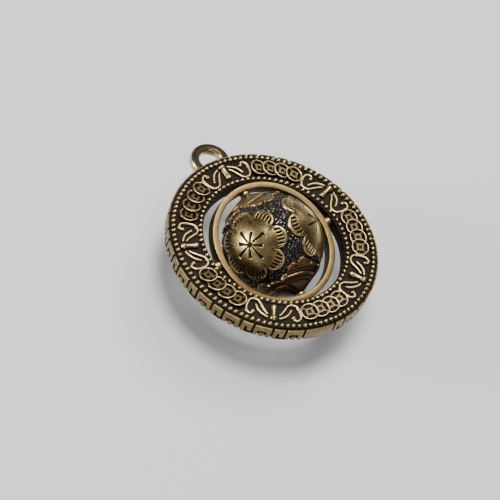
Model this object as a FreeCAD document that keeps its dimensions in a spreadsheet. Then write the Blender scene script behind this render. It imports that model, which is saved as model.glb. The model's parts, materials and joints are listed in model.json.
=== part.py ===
"""A gimballed ball charm: a relief ring with a bail, an inner ring on two pins, and a ball on an axle.

Millimetres. The ring lies flat, its axis along Z. The origin is the centre of the bail's eye, the
middle of the ring is on the -Y side of it, and the pins of the inner ring lie along X.
"""
import FreeCAD, Part
import math
import os
import re
import Sketcher
from FreeCAD import Placement, Rotation, Vector

os.makedirs("parts", exist_ok=True)
doc = FreeCAD.newDocument("gimballed_ball_charm")

sizes = {
    # outer ring
    "rim_radius": 20.0, "band_inner": 19.5, "band_half": 1.3, "step_radius": 19.36,
    "hole_radius": 13.4, "ground_height": 1.05, "wall_bevel": 0.15,
    # key pattern on the rim
    "key_depth": 0.32, "key_width": 0.44, "key_step": 17.1, "key_count": 20, "key_start": -90.3,
    "short_leg": 3.3, "tall_leg": 6.9, "arch_left": 10.1, "arch_right": 13.7,
    "arch_top": -0.08, "short_top": 0.28, "foot_line": -1.02,
    # bail
    "bail_reach": 20.95, "ring_lift": 0.3, "bail_outer": 3.88, "bail_eye": 2.1, "bail_half": 1.0,
    "bail_round": 0.35,
    # bead rows
    "bead_radius": 0.48, "outer_row": 18.9, "outer_beads": 110, "inner_row": 14.0, "inner_beads": 80,
    # bars
    "bar_inner": 14.8, "bar_outer": 18.38, "bar_head": 0.7, "bar_neck": 0.46, "bar_foot": 0.58,
    # scrolls
    "wire_radius": 0.24, "band_middle": 16.4,
    # coins
    "coin_radius": 1.7, "coin_height": 0.34, "coin_gap": 0.05, "coin_first": 24.0, "coin_step": 8.0,
    "coin_square": 0.7, "slot_length": 1.05, "slot_width": 0.34, "slot_place": 1.08,
    # inner ring and its pins
    "inner_outer": 12.15, "inner_inner": 11.0, "inner_half": 1.2, "inner_bevel": 0.12, "tilt": 13,
    "pin_radius": 0.6, "pin_seat": 15.6, "pin_tip": 11.15, "pin_bevel": 0.1, "running_gap": 0.05,
    "spacer_radius": 1.0, "spacer_near": 12.22, "spacer_far": 13.34,
    # ball
    "ball_ground": 8.95, "ball_relief": 9.55, "shell_wall": 0.8, "axle_half": 12.08,
    "bush_radius": 1.3, "bush_inner": 7.6, "bush_shoulder": 9.95, "bush_outer": 10.3,
    "ball_spacer_radius": 0.95, "ball_spacer_near": 10.38, "ball_spacer_far": 10.94,
    "petal_radius": 2.3, "petal_place": 4.0, "petal_count": 7, "hub_radius": 4.7,
    "leaf_tip": 7.35, "leaf_half": 2.3, "leaf_count": 4, "collar_radius": 5.2,
    "cap_foot_radius": 4.19, "cap_foot": 8.58, "cap_top_radius": 1.3, "cap_top": 9.99,
    "flower_first": -54.5,
}
sheet = doc.addObject("Spreadsheet::Sheet", "Sizes")
for row, (alias, size) in enumerate(sizes.items(), start=1):
    sheet.set(f"A{row}", alias)
    sheet.set(f"B{row}", str(size))
    sheet.setAlias(f"B{row}", alias)
doc.recompute()

sectors = 5              # bars, scroll pairs and coin strings on each face
bar_angle = 90           # the first bar points at the bail
sector_angle = 360 / sectors


def bound(text):
    """The expression with each alias looked up in the sheet."""
    return re.sub(r"[a-z]\w*", lambda word: "Sizes." + word.group() if word.group() in sizes else word.group(),
                  str(text))


def number(text):
    """What an expression on the sheet's aliases is worth now."""
    worth = sheet.evalExpression(str(text))
    return float(getattr(worth, "Value", worth))


def bind(thing, **places):
    """Each property of thing follows its expression."""
    for place, text in places.items():
        thing.setExpression(place, bound(text))


def newBody(name):
    body = doc.addObject("PartDesign::Body", name)
    body.Label = name
    body.AllowCompound = True
    return body


def newSketch(body, name, plane, height=None):
    """A sketch on one of the body's own planes, raised by height."""
    sketch = body.newObject("Sketcher::SketchObject", name)
    origin_plane = next(item for item in body.Origin.OriginFeatures if item.Role == plane)
    sketch.AttachmentSupport = [(origin_plane, "")]
    sketch.MapMode = "FlatFace"
    if height is not None:
        sketch.AttachmentOffset = Placement(Vector(0, 0, number(height)), Rotation())
        bind(sketch, **{".AttachmentOffset.Base.z": height})
    return sketch


def pin(sketch, geometry, point, across, along):
    """Hold one point of a sketch at two distances from its origin."""
    for kind, text, axis in (("DistanceX", across, -2), ("DistanceY", along, -1)):
        worth = number(text)
        if abs(worth) < 1e-9:
            sketch.addConstraint(Sketcher.Constraint("PointOnObject", geometry, point, axis))
            continue
        held = sketch.addConstraint(Sketcher.Constraint(kind, -1, 1, geometry, point, worth))
        sketch.setExpression(f"Constraints[{held}]", bound(text))


def outline(sketch, corners):
    """A closed run of straight edges through corners, each a pair of expressions."""
    first = sketch.GeometryCount
    points = [Vector(number(across), number(along), 0) for across, along in corners]
    for start, end in zip(points, points[1:] + points[:1]):
        sketch.addGeometry(Part.LineSegment(start, end), False)
    count = len(corners)
    for place in range(count):
        following = first + (place + 1) % count
        sketch.addConstraint(Sketcher.Constraint("Coincident", first + place, 2, following, 1))
    for place, (across, along) in enumerate(corners):
        pin(sketch, first + place, 1, across, along)


def circle(sketch, across, along, radius):
    """A circle whose centre and radius follow expressions."""
    centre = Vector(number(across), number(along), 0)
    geometry = sketch.addGeometry(Part.Circle(centre, Vector(0, 0, 1), number(radius)), False)
    pin(sketch, geometry, 3, across, along)
    held = sketch.addConstraint(Sketcher.Constraint("Radius", geometry, number(radius)))
    sketch.setExpression(f"Constraints[{held}]", bound(radius))


def turned(name, corners, axis="V_Axis", plane="XZ_Plane", angle=360, height=None):
    """A body turned from an outline about an axis of its sketch."""
    body = newBody(name)
    sketch = newSketch(body, name + "_section", plane, height)
    outline(sketch, corners)
    turning = body.newObject("PartDesign::Revolution", name + "_turning")
    turning.Profile = sketch
    turning.ReferenceAxis = (sketch, [axis])
    turning.Angle = angle
    sketch.Visibility = False
    return body


def pocket(body, sketch, length, reversed_way=False, midplane=False):
    cut = body.newObject("PartDesign::Pocket", sketch.Name + "_cut")
    cut.Profile = sketch
    cut.Type = "Length"
    cut.Midplane = midplane
    cut.Reversed = reversed_way
    bind(cut, Length=length)
    return cut


def pad(body, sketch, length):
    raised = body.newObject("PartDesign::Pad", sketch.Name + "_pad")
    raised.Profile = sketch
    bind(raised, Length=length)
    return raised


def around(body, features, count, angle=360):
    """The features repeated about the body's Z axis."""
    pattern = body.newObject("PartDesign::PolarPattern", body.Name + "_pattern")
    pattern.Originals = features
    z_axis = next(item for item in body.Origin.OriginFeatures if item.Role == "Z_Axis")
    pattern.Axis = (z_axis, [""])
    pattern.Angle = angle
    bind(pattern, Occurrences=count)
    body.Tip = pattern


# --- places -----------------------------------------------------------------------------------------
ring_centre = Placement(Vector(0, -number("bail_reach"), number("ring_lift")), Rotation())
tilted = ring_centre.multiply(Placement(Vector(), Rotation(Vector(1, 0, 0), number("tilt"))))
# the ball's own Z is its axle, its X is the inner ring's upper face and its Y is the frame's X
ball_place = tilted.multiply(Placement(Vector(), Rotation(Vector(0, 0, 1), Vector(1, 0, 0), Vector(0, 1, 0),
                                                          "ZXY")))
faces = {"front": Rotation(), "back": Rotation(Vector(0, 1, 0), 180)}
nodes = []


def keep(thing, place=ring_centre):
    """Put a finished piece in its place and list it for writing."""
    thing.Placement = place
    nodes.append(thing)
    return thing


def copyOf(master, name, place):
    """Another of a piece that is made once, in a place of its own."""
    copy = doc.addObject("Part::Compound", name)
    copy.Label = name
    copy.Links = [master]
    return keep(copy, place)


# --- outer ring -------------------------------------------------------------------------------------
def makeOuterRing():
    ring = turned("outer_ring", [
        ("hole_radius", "wall_bevel - ground_height"), ("hole_radius + wall_bevel", "-ground_height"),
        ("step_radius", "-ground_height"), ("step_radius", "wall_bevel - ground_height"),
        ("band_inner", "wall_bevel - ground_height"), ("band_inner", "ground_height - wall_bevel"),
        ("step_radius", "ground_height - wall_bevel"), ("step_radius", "ground_height"),
        ("hole_radius + wall_bevel", "ground_height"), ("hole_radius", "ground_height - wall_bevel")])
    seat = newSketch(ring, "pin_seat_bore", "YZ_Plane")
    circle(seat, 0, 0, "pin_radius")
    pocket(ring, seat, "2 * pin_seat", midplane=True)
    return keep(ring)


def keyGroove(band, name, middle, corners):
    """One groove of the key pattern, cut from a plane just under the rim."""
    turn = number("key_start") + middle
    sketch = band.newObject("Sketcher::SketchObject", name)
    plane = next(item for item in band.Origin.OriginFeatures if item.Role == "YZ_Plane")
    sketch.AttachmentSupport = [(plane, "")]
    sketch.MapMode = "FlatFace"
    # the plane's own Y is the frame's Z, so it is turned about that and then pushed out
    outward = Placement(Vector(0, 0, number("rim_radius - key_depth")), Rotation())
    sketch.AttachmentOffset = Placement(Vector(), Rotation(Vector(0, 1, 0), turn)).multiply(outward)
    outline(sketch, corners)
    return pocket(band, sketch, "2 * key_depth", reversed_way=True)


def makeKeyBand():
    band = turned("rim_key_band", [
        ("band_inner", "-band_half"), ("rim_radius - wall_bevel", "-band_half"),
        ("rim_radius", "wall_bevel - band_half"), ("rim_radius", "band_half - wall_bevel"),
        ("rim_radius - wall_bevel", "band_half"), ("band_inner", "band_half")])
    half = "key_width / 2"
    slot = keyGroove(band, "slot", 0, [
        (f"-{half}", "-2 * band_half"), (half, "-2 * band_half"), (half, "2 * band_half"),
        (f"-{half}", "2 * band_half")])
    hook_middle = number("(short_leg + tall_leg) / 2")
    reach = "rim_radius * (tall_leg - short_leg) * pi / 360"
    hook = keyGroove(band, "hook", hook_middle, [
        (f"-{reach} - {half}", f"foot_line - {half}"), (f"{reach} + {half}", f"foot_line - {half}"),
        (f"{reach} + {half}", "2 * band_half"), (f"{reach} - {half}", "2 * band_half"),
        (f"{reach} - {half}", f"foot_line + {half}"), (f"-{reach} + {half}", f"foot_line + {half}"),
        (f"-{reach} + {half}", "short_top"), (f"-{reach} - {half}", "short_top")])
    arch_middle = number("(arch_left + arch_right) / 2")
    span = "rim_radius * (arch_right - arch_left) * pi / 360"
    arch = keyGroove(band, "arch", arch_middle, [
        (f"-{span} - {half}", "-2 * band_half"), (f"-{span} + {half}", "-2 * band_half"),
        (f"-{span} + {half}", f"arch_top - {half}"), (f"{span} - {half}", f"arch_top - {half}"),
        (f"{span} - {half}", "-2 * band_half"), (f"{span} + {half}", "-2 * band_half"),
        (f"{span} + {half}", f"arch_top + {half}"), (f"-{span} - {half}", f"arch_top + {half}")])
    around(band, [slot, hook, arch], "key_count", number("key_step * (key_count - 1)"))
    return keep(band)


def makeBail():
    bail = turned("bail", [
        ("bail_eye + bail_round", "-bail_half"), ("bail_outer - bail_round", "-bail_half"),
        ("bail_outer", "bail_round - bail_half"), ("bail_outer", "bail_half - bail_round"),
        ("bail_outer - bail_round", "bail_half"), ("bail_eye + bail_round", "bail_half"),
        ("bail_eye", "bail_half - bail_round"), ("bail_eye", "bail_round - bail_half")])
    foot = newSketch(bail, "bail_foot", "XY_Plane")
    circle(foot, 0, "-bail_reach", "rim_radius")
    pocket(bail, foot, "4 * bail_half", midplane=True)
    return keep(bail, Placement())


# --- relief on both faces ---------------------------------------------------------------------------
def makeBeadRow(name, row, count):
    """Domes on the ground of the ring, in a circle."""
    body = newBody(name)
    sketch = newSketch(body, name + "_section", "XZ_Plane")
    centre = Vector(number(row), number("ground_height"), 0)
    radius = number("bead_radius")
    arc = sketch.addGeometry(Part.ArcOfCircle(Part.Circle(centre, Vector(0, 0, 1), radius), 0, math.pi / 2))
    stem = sketch.addGeometry(Part.LineSegment(centre + Vector(0, radius, 0), centre))
    base = sketch.addGeometry(Part.LineSegment(centre, centre + Vector(radius, 0, 0)))
    for first, second in (((arc, 2), (stem, 1)), ((stem, 2), (base, 1)), ((base, 2), (arc, 1)),
                          ((arc, 3), (base, 1))):
        sketch.addConstraint(Sketcher.Constraint("Coincident", *first, *second))
    sketch.addConstraint(Sketcher.Constraint("Vertical", stem))
    sketch.addConstraint(Sketcher.Constraint("Horizontal", base))
    pin(sketch, base, 1, row, "ground_height")
    held = sketch.addConstraint(Sketcher.Constraint("Radius", arc, radius))
    sketch.setExpression(f"Constraints[{held}]", bound("bead_radius"))
    axis = sketch.addGeometry(Part.LineSegment(centre, centre + Vector(0, 1, 0)), True)
    sketch.addConstraint(Sketcher.Constraint("Coincident", axis, 1, base, 1))
    sketch.addConstraint(Sketcher.Constraint("Vertical", axis))
    dome = body.newObject("PartDesign::Revolution", name + "_dome")
    dome.Profile = sketch
    dome.ReferenceAxis = (sketch, ["Axis0"])
    dome.Angle = 360
    around(body, [dome], count)
    return body


def makeBar():
    """A half-round drop, thick at its outer end, that points along its body's X."""
    # shares of the bar's length, and of the thickness named beside them
    shape = [(0, 0, "bar_foot"), (0.02, 0.6, "bar_foot"), (0.08, 1, "bar_foot"), (0.22, 1, "bar_foot"),
             (0.48, 1, "bar_neck"), (0.62, 1, "bar_neck"), (0.74, 0.9, "bar_head"), (0.84, 1, "bar_head"),
             (0.95, 0.7, "bar_head"), (1, 0.3, "bar_head"), (1, 0, "bar_head")]
    corners = [(f"bar_inner + (bar_outer - bar_inner) * {share}", f"{thick} * {part}")
               for share, thick, part in shape]
    return turned("bar_master", corners, axis="H_Axis", plane="XY_Plane", angle=180, height="ground_height")


# The centre lines of a scroll's two wires: along the ring from the bar, and out from the ring's middle.
long_wire = [(1.1, 16.95), (1.7, 16.3), (2.4, 15.4), (3.2, 14.85), (4.1, 14.95), (4.75, 15.7), (4.85, 16.7),
             (4.5, 17.5), (3.8, 17.85), (3.45, 17.3)]
short_wire = [(1.15, 17.65), (1.8, 17.4), (2.5, 16.9), (3.1, 16.25), (3.4, 15.8)]


def makeWire(stations, side, blob):
    """A half-round wire along a smooth line on the ground, with a round start and a blob at its end."""
    middle = number("band_middle")
    radius = number("wire_radius")
    up = Vector(0, 0, 1)
    points = []
    for along, out in stations:
        angle = side * along / middle
        points.append(Vector(out * math.cos(angle), out * math.sin(angle), number("ground_height")))
    line = Part.BSplineCurve()
    line.interpolate(points)
    across = line.tangent(line.FirstParameter)[0].cross(up).normalize() * radius
    start = points[0]
    top = Part.Arc(start - across, start + up * radius, start + across).toShape()
    base = Part.LineSegment(start + across, start - across).toShape()
    sweep = Part.BRepOffsetAPI.MakePipeShell(Part.Wire([line.toShape()]))
    sweep.setBiNormalMode(up)
    sweep.add(Part.Wire([top, base]))
    sweep.build()
    sweep.makeSolid()
    domes = [Part.makeSphere(size, place, up, 0, 90, 360)
             for size, place in ((radius, start), (radius * blob, points[-1]))]
    return sweep.shape().fuse(domes)


def makeScrolls():
    """The scrolls on both sides of a bar: a half-round section along a spline has no Part primitive."""
    wires = []
    for side in (-1, 1):
        for stations, blob in ((long_wire, 1.7), (short_wire, 1.4)):
            wires += makeWire(stations, side, blob).Solids
    scrolls = doc.addObject("Part::Feature", "scroll_master")
    scrolls.Shape = Part.Compound(wires)
    return scrolls


def makeCoin(place, covered):
    """A coin with a square hole and four slots, cut back where its neighbour lies over it."""
    blank = doc.addObject("Part::Cylinder", f"coin_blank_{place}")
    bind(blank, Radius="coin_radius", Height="coin_height")
    blank.Placement = Placement(Vector(number("band_middle"), 0, number("ground_height")), Rotation())
    cutters = []
    shapes = [(0, 0, "coin_square", "coin_square")]
    for side in (-1, 1):
        shapes.append((side, 0, "slot_width", "slot_length"))
        shapes.append((0, side, "slot_length", "slot_width"))
    for out, along, length, width in shapes:
        box = doc.addObject("Part::Box", f"coin_slot_{place}")
        bind(box, Length=length, Width=width, Height="2 * coin_height")
        box.Placement = Placement(Vector(
            number(f"band_middle + {out} * slot_place - {length} / 2"),
            number(f"{along} * slot_place - {width} / 2"), number("ground_height - coin_height / 2")), Rotation())
        cutters.append(box)
    if covered:
        cover = doc.addObject("Part::Cylinder", f"coin_cover_{place}")
        bind(cover, Radius="coin_radius + coin_gap", Height="2 * coin_height")
        spot = Rotation(Vector(0, 0, 1), -number("coin_step")).multVec(Vector(number("band_middle"), 0, 0))
        cover.Placement = Placement(spot + Vector(0, 0, number("ground_height - coin_height / 2")), Rotation())
        cutters.append(cover)
    cutter = doc.addObject("Part::MultiFuse", f"coin_cutter_{place}")
    cutter.Shapes = cutters
    coin = doc.addObject("Part::Cut", f"coin_{place}")
    coin.Base = blank
    coin.Tool = cutter
    coin.Placement = Placement(Vector(), Rotation(Vector(0, 0, 1), number(f"coin_first + {place} * coin_step")))
    return coin


def makeCoins():
    coins = doc.addObject("Part::Compound", "coin_master")
    coins.Links = [makeCoin(place, covered=place > 0) for place in range(4)]
    return coins


def makeRelief():
    rows = {"outer": makeBeadRow("outer_beads_master", "outer_row", "outer_beads"),
            "inner": makeBeadRow("inner_beads_master", "inner_row", "inner_beads")}
    masters = {"bar": makeBar(), "scroll": makeScrolls(), "coins": makeCoins()}
    doc.recompute()
    for side, rotation in faces.items():
        face = ring_centre.multiply(Placement(Vector(), rotation))
        for row, beads in rows.items():
            copyOf(beads, f"beads_{row}_{side}", face)
        for name, master in masters.items():
            for sector in range(sectors):
                turn = Rotation(Vector(0, 0, 1), bar_angle - sector * sector_angle)
                copyOf(master, f"{name}_{side}_{sector + 1}", face.multiply(Placement(Vector(), turn)))


# --- inner ring, pins and spacers -------------------------------------------------------------------
def makeInnerRing():
    ring = turned("inner_ring", [
        ("inner_inner", "inner_bevel - inner_half"), ("inner_inner + inner_bevel", "-inner_half"),
        ("inner_outer - inner_bevel", "-inner_half"), ("inner_outer", "inner_bevel - inner_half"),
        ("inner_outer", "inner_half - inner_bevel"), ("inner_outer - inner_bevel", "inner_half"),
        ("inner_inner + inner_bevel", "inner_half"), ("inner_inner", "inner_half - inner_bevel")])
    pivots = newSketch(ring, "pivot_bore", "YZ_Plane")
    circle(pivots, 0, 0, "pin_radius + running_gap")
    pocket(ring, pivots, "3 * inner_outer", midplane=True)
    seats = newSketch(ring, "axle_bore", "XZ_Plane")
    circle(seats, 0, 0, "pin_radius")
    pocket(ring, seats, "3 * inner_outer", midplane=True)
    return keep(ring, tilted)


def rod(name, near, far, radius, bore=0):
    """A turned pin, or a collar with a bore, along its body's Z."""
    return turned(name, [
        (bore, near), (f"{radius} - pin_bevel", near), (radius, f"{near} + pin_bevel"),
        (radius, f"{far} - pin_bevel"), (f"{radius} - pin_bevel", far), (bore, far)])


def makePivots():
    for name, yaw in (("right", 90), ("left", -90)):
        place = ring_centre.multiply(Placement(Vector(), Rotation(Vector(0, 1, 0), yaw)))
        keep(rod(f"ring_pin_{name}", "pin_tip", "pin_seat", "pin_radius"), place)
        spacer = rod(f"ring_spacer_{name}", "spacer_near", "spacer_far", "spacer_radius", "pin_radius")
        keep(spacer, place)


def makeAxle():
    keep(rod("ball_axle", "-axle_half", "axle_half", "pin_radius"), ball_place)
    for name, roll in (("upper", 0), ("lower", 180)):
        place = ball_place.multiply(Placement(Vector(), Rotation(Vector(1, 0, 0), roll)))
        spacer = rod(f"ball_spacer_{name}", "ball_spacer_near", "ball_spacer_far", "ball_spacer_radius",
                     "pin_radius")
        keep(spacer, place)
        # a bush ends in the point of the leaf cap round it
        bore = "pin_radius + running_gap"
        keep(turned(f"ball_bush_{name}", [
            (bore, "bush_inner"), ("bush_radius", "bush_inner"), ("bush_radius", "bush_shoulder"),
            (bore, "bush_outer")]), place)


# --- ball -------------------------------------------------------------------------------------------
def makeShell(name, turn):
    """Half of the hollow ball, split along its axle between two pairs of flowers."""
    body = newBody(name)
    sketch = newSketch(body, name + "_section", "XZ_Plane")
    edge = number("bush_radius")
    arcs = []
    for radius_text in ("ball_ground", "ball_ground - shell_wall"):
        radius = number(radius_text)
        lean = math.acos(edge / radius)
        arc = sketch.addGeometry(Part.ArcOfCircle(Part.Circle(Vector(), Vector(0, 0, 1), radius), -lean, lean))
        sketch.addConstraint(Sketcher.Constraint("Coincident", arc, 3, -1, 1))
        held = sketch.addConstraint(Sketcher.Constraint("Radius", arc, radius))
        sketch.setExpression(f"Constraints[{held}]", bound(radius_text))
        arcs.append(arc)
    for end in (1, 2):
        ends = [sketch.getPoint(arc, end) for arc in arcs]
        line = sketch.addGeometry(Part.LineSegment(*ends))
        for arc, point in zip(arcs, (1, 2)):
            sketch.addConstraint(Sketcher.Constraint("Coincident", line, point, arc, end))
        sketch.addConstraint(Sketcher.Constraint("Vertical", line))
        held = sketch.addConstraint(Sketcher.Constraint("DistanceX", -1, 1, line, 1, edge))
        sketch.setExpression(f"Constraints[{held}]", bound("bush_radius"))
    turning = body.newObject("PartDesign::Revolution", name + "_turning")
    turning.Profile = sketch
    turning.ReferenceAxis = (sketch, ["V_Axis"])
    turning.Angle = 180
    return keep(body, ball_place.multiply(Placement(Vector(), Rotation(Vector(0, 0, 1), turn))))


def reliefSkin():
    """The thin hollow sphere that the ball's relief is cut from."""
    skin = doc.addObject("Part::Cut", "relief_skin")
    for role, radius in (("Base", "ball_relief"), ("Tool", "ball_ground")):
        sphere = doc.addObject("Part::Sphere", f"relief_{role.lower()}")
        bind(sphere, Radius=radius)
        setattr(skin, role, sphere)
    return skin


def makeFlower(skin):
    """A scalloped flower that points along its body's Z."""
    stamp = newBody("flower_stamp")
    hub = newSketch(stamp, "flower_hub", "XY_Plane")
    circle(hub, 0, 0, "hub_radius")
    pad(stamp, hub, "2 * ball_relief")
    petal = newSketch(stamp, "flower_petal", "XY_Plane")
    circle(petal, "petal_place", 0, "petal_radius")
    raised = pad(stamp, petal, "2 * ball_relief")
    around(stamp, [raised], "petal_count")
    flower = doc.addObject("Part::MultiCommon", "flower_master")
    flower.Shapes = [stamp, skin]
    return flower


def makeWreath(skin):
    """A pointed cap over a pole, with four leaves that reach between the flowers and a hole for the bush."""
    stamp = newBody("wreath_stamp")
    collar = newSketch(stamp, "wreath_collar", "XY_Plane")
    circle(collar, 0, 0, "collar_radius")
    pad(stamp, collar, "2 * ball_relief")
    leaf = newSketch(stamp, "wreath_leaf", "XY_Plane")
    outline(leaf, [("leaf_tip * 0.3", 0), ("leaf_tip * 0.62", "leaf_half"), ("leaf_tip * 0.84", "leaf_half * 0.83"),
                   ("leaf_tip", 0), ("leaf_tip * 0.84", "-leaf_half * 0.83"), ("leaf_tip * 0.62", "-leaf_half")])
    raised = pad(stamp, leaf, "2 * ball_relief")
    around(stamp, [raised], "leaf_count")
    hole = newSketch(stamp, "wreath_hole", "XY_Plane")
    circle(hole, 0, 0, "bush_radius")
    stamp.Tip = pocket(stamp, hole, "4 * ball_relief", midplane=True)
    cone = doc.addObject("Part::Cone", "wreath_cone")
    bind(cone, Radius1="cap_foot_radius", Radius2="cap_top_radius", Height="cap_top - cap_foot")
    cone.Placement = Placement(Vector(0, 0, number("cap_foot")), Rotation())
    raised_skin = doc.addObject("Part::MultiFuse", "wreath_blank")
    raised_skin.Shapes = [skin, cone]
    domed = doc.addObject("Part::Cut", "wreath_skin")
    domed.Base = raised_skin
    domed.Tool = skin.Tool
    wreath = doc.addObject("Part::MultiCommon", "wreath_master")
    wreath.Shapes = [stamp, domed]
    return wreath


def makeBall():
    gap = number("flower_first") - 45          # halfway between two flowers
    makeShell("ball_shell_front", gap)
    makeShell("ball_shell_back", gap + 180)
    skin = reliefSkin()
    flower = makeFlower(skin)
    wreath = makeWreath(skin)
    doc.recompute()
    upright = Rotation(Vector(0, 1, 0), 90)    # the flower's own Z becomes the ball's X
    for place in range(4):
        around_axle = Rotation(Vector(0, 0, 1), number("flower_first") + 90 * place)
        copyOf(flower, f"flower_{place + 1}", ball_place.multiply(Placement(Vector(), around_axle * upright)))
    between = Rotation(Vector(0, 0, 1), gap)
    for name, roll in (("upper", 0), ("lower", 180)):
        over = Rotation(Vector(1, 0, 0), roll)
        copyOf(wreath, f"leaves_{name}", ball_place.multiply(Placement(Vector(), between * over)))


makeOuterRing()
makeKeyBand()
makeBail()
makeRelief()
makeInnerRing()
makePivots()
makeAxle()
makeBall()
doc.recompute()

for item in doc.Objects:
    if "Invalid" in item.State or "Error" in item.State:
        raise RuntimeError(f"{item.Label} failed: {item.State}")
for node in nodes:
    shape = node.Shape
    if shape.isNull() or not shape.isValid() or not shape.Solids:
        raise RuntimeError(f"{node.Label} has no valid solid")
    shape.exportStep(f"parts/{node.Label}.step")
    print(f"{node.Label:22s} {len(shape.Solids):4d} solids {shape.Volume:10.3f} mm3")
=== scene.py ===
import bpy
import bmesh
import json
import math
import random
import numpy as np
from mathutils import Euler, Matrix, Vector
from mathutils.kdtree import KDTree


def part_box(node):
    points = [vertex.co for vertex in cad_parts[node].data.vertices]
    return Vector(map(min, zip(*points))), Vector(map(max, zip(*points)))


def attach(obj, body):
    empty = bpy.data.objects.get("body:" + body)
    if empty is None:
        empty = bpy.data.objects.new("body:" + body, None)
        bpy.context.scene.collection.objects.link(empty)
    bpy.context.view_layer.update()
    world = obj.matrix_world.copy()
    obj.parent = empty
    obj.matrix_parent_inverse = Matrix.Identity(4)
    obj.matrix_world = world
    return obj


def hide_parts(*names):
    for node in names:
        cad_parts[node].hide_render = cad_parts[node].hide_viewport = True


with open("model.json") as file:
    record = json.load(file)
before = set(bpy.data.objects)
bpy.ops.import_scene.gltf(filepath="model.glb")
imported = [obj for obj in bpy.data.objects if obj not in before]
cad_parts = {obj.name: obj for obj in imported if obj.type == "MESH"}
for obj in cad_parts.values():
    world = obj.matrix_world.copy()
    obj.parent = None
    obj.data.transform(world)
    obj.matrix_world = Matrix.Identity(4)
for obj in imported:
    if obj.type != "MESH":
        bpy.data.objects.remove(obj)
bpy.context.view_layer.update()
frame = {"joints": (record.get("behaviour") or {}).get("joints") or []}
scene = bpy.context.scene
mm = 0.001

# places read from the frame
ringLow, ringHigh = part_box("rim_key_band")
ringCentre = (Vector(ringLow) + Vector(ringHigh)) / 2
rimRadius = (ringHigh[0] - ringLow[0]) / 2 / mm
bandHalf = (ringHigh[2] - ringLow[2]) / 2 / mm
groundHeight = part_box("outer_ring")[1][2] / mm
pivotAxis = Vector(frame["joints"][0]["axis"]).normalized()
spinAxis = Vector(frame["joints"][1]["axis"]).normalized()
ballUp = pivotAxis.cross(spinAxis).normalized()      # out of the inner ring's upper face

# a piece is drawn in millimetres about the middle of the ring, and these put it in its place
toRing = Matrix.Translation(ringCentre) @ Matrix.Scale(mm, 4)
toInner = toRing @ Matrix((pivotAxis, spinAxis, ballUp)).transposed().to_4x4()
toBall = toRing @ Matrix((ballUp, pivotAxis, spinAxis)).transposed().to_4x4()
faces = {"front": Matrix(), "back": Matrix.Rotation(math.pi, 4, "Y")}
sectors = 5


def turned(degrees):
    return Matrix.Rotation(math.radians(degrees), 4, "Z")


# an expression on values adds its own Math nodes
class Value:
    def __init__(self, shader, socket):
        self.shader = shader
        self.socket = socket

    def math(self, operation, *others):
        inputs = dict(enumerate((self, *others)))
        return self.shader.node("ShaderNodeMath", {"operation": operation}, inputs)

    def __add__(self, other):
        return self.math("ADD", other)

    def __sub__(self, other):
        return self.math("SUBTRACT", other)

    def __mul__(self, other):
        return self.math("MULTIPLY", other)

    def __rsub__(self, other):
        return self.shader.node("ShaderNodeMath", {"operation": "SUBTRACT"}, {0: other, 1: self})

    __radd__ = __add__
    __rmul__ = __mul__


def socketOf(sockets, key):
    if isinstance(key, int):
        return sockets[key]
    return next(socket for socket in sockets if socket.identifier == key)


class Shader:
    def __init__(self, name):
        self.material = bpy.data.materials.new(name)
        self.material.use_nodes = True
        self.tree = self.material.node_tree
        self.surface = self.tree.nodes["Principled BSDF"]

    def put(self, socket, value):
        if isinstance(value, Value):
            self.tree.links.new(value.socket, socket)
        elif socket.type == "RGBA":
            socket.default_value = (*value, 1.0)
        else:
            socket.default_value = value

    # any node: its type, its settings, its inputs by place or name, and the output that is wanted
    def node(self, kind, settings, inputs, output=0):
        made = self.tree.nodes.new(kind)
        for name, setting in settings.items():
            setattr(made, name, setting)
        for key, value in inputs.items():
            self.put(socketOf(made.inputs, key), value)
        return Value(self, socketOf(made.outputs, output))

    def mix(self, share, first, second):
        return self.node("ShaderNodeMix", {"data_type": "RGBA"},
                         {"Factor_Float": share, "A_Color": first, "B_Color": second}, "Result_Color")

    def step(self, value, low, high):
        settings = {"interpolation_type": "SMOOTHSTEP"}
        return self.node("ShaderNodeMapRange", settings, {0: value, 1: low, 2: high})

    def noise(self, place, scale, detail, rough):
        inputs = {"Vector": place, "Scale": scale, "Detail": detail, "Roughness": rough}
        return self.node("ShaderNodeTexNoise", {}, inputs)

    def attribute(self, name):
        return self.node("ShaderNodeAttribute", {"attribute_name": name}, {}, "Fac")

    # Object coordinates in millimetres about a centre
    def place(self, centre):
        whole = self.node("ShaderNodeTexCoord", {}, {}, "Object")
        shift = [-part / mm for part in centre]
        inputs = {"Vector": whole, "Location": shift, "Scale": [1 / mm] * 3}
        return self.node("ShaderNodeMapping", {}, inputs)

    def split(self, place):
        return [self.node("ShaderNodeSeparateXYZ", {}, {0: place}, part) for part in "XYZ"]

    def finish(self, colour, rough, metal, height, strength, distance):
        relief = {"Strength": strength, "Distance": distance * mm, "Height": height}
        inputs = {"Base Color": colour, "Roughness": rough, "Metallic": metal,
                  "Normal": self.node("ShaderNodeBump", {}, relief)}
        for name, value in inputs.items():
            self.put(self.surface.inputs[name], value)
        return self.material


brass = {
    "black": (0.0090, 0.0060, 0.0030), "brown": (0.110, 0.060, 0.021), "mid": (0.140, 0.098, 0.038),
    "bright": (0.570, 0.425, 0.175), "copper": (0.480, 0.270, 0.095), "specular": 0.12,
    "blotchScale": 0.9, "grainScale": 6.5, "pitScale": 22.0, "wander": 0.55,
    "rubbedAndHighlight": (0.16, 0.62), "worn": (-0.18, 0.30), "tarnish": (0.46, 0.62), "warmBrown": 0.35,
    "wornKeeps": 0.7, "greying": 0.75, "rough": 0.36, "roughBlack": 0.24, "roughGrain": 0.24,
    "metal": (0.06, 0.92), "bump": 0.40, "bumpDepth": 0.06,
}
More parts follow.
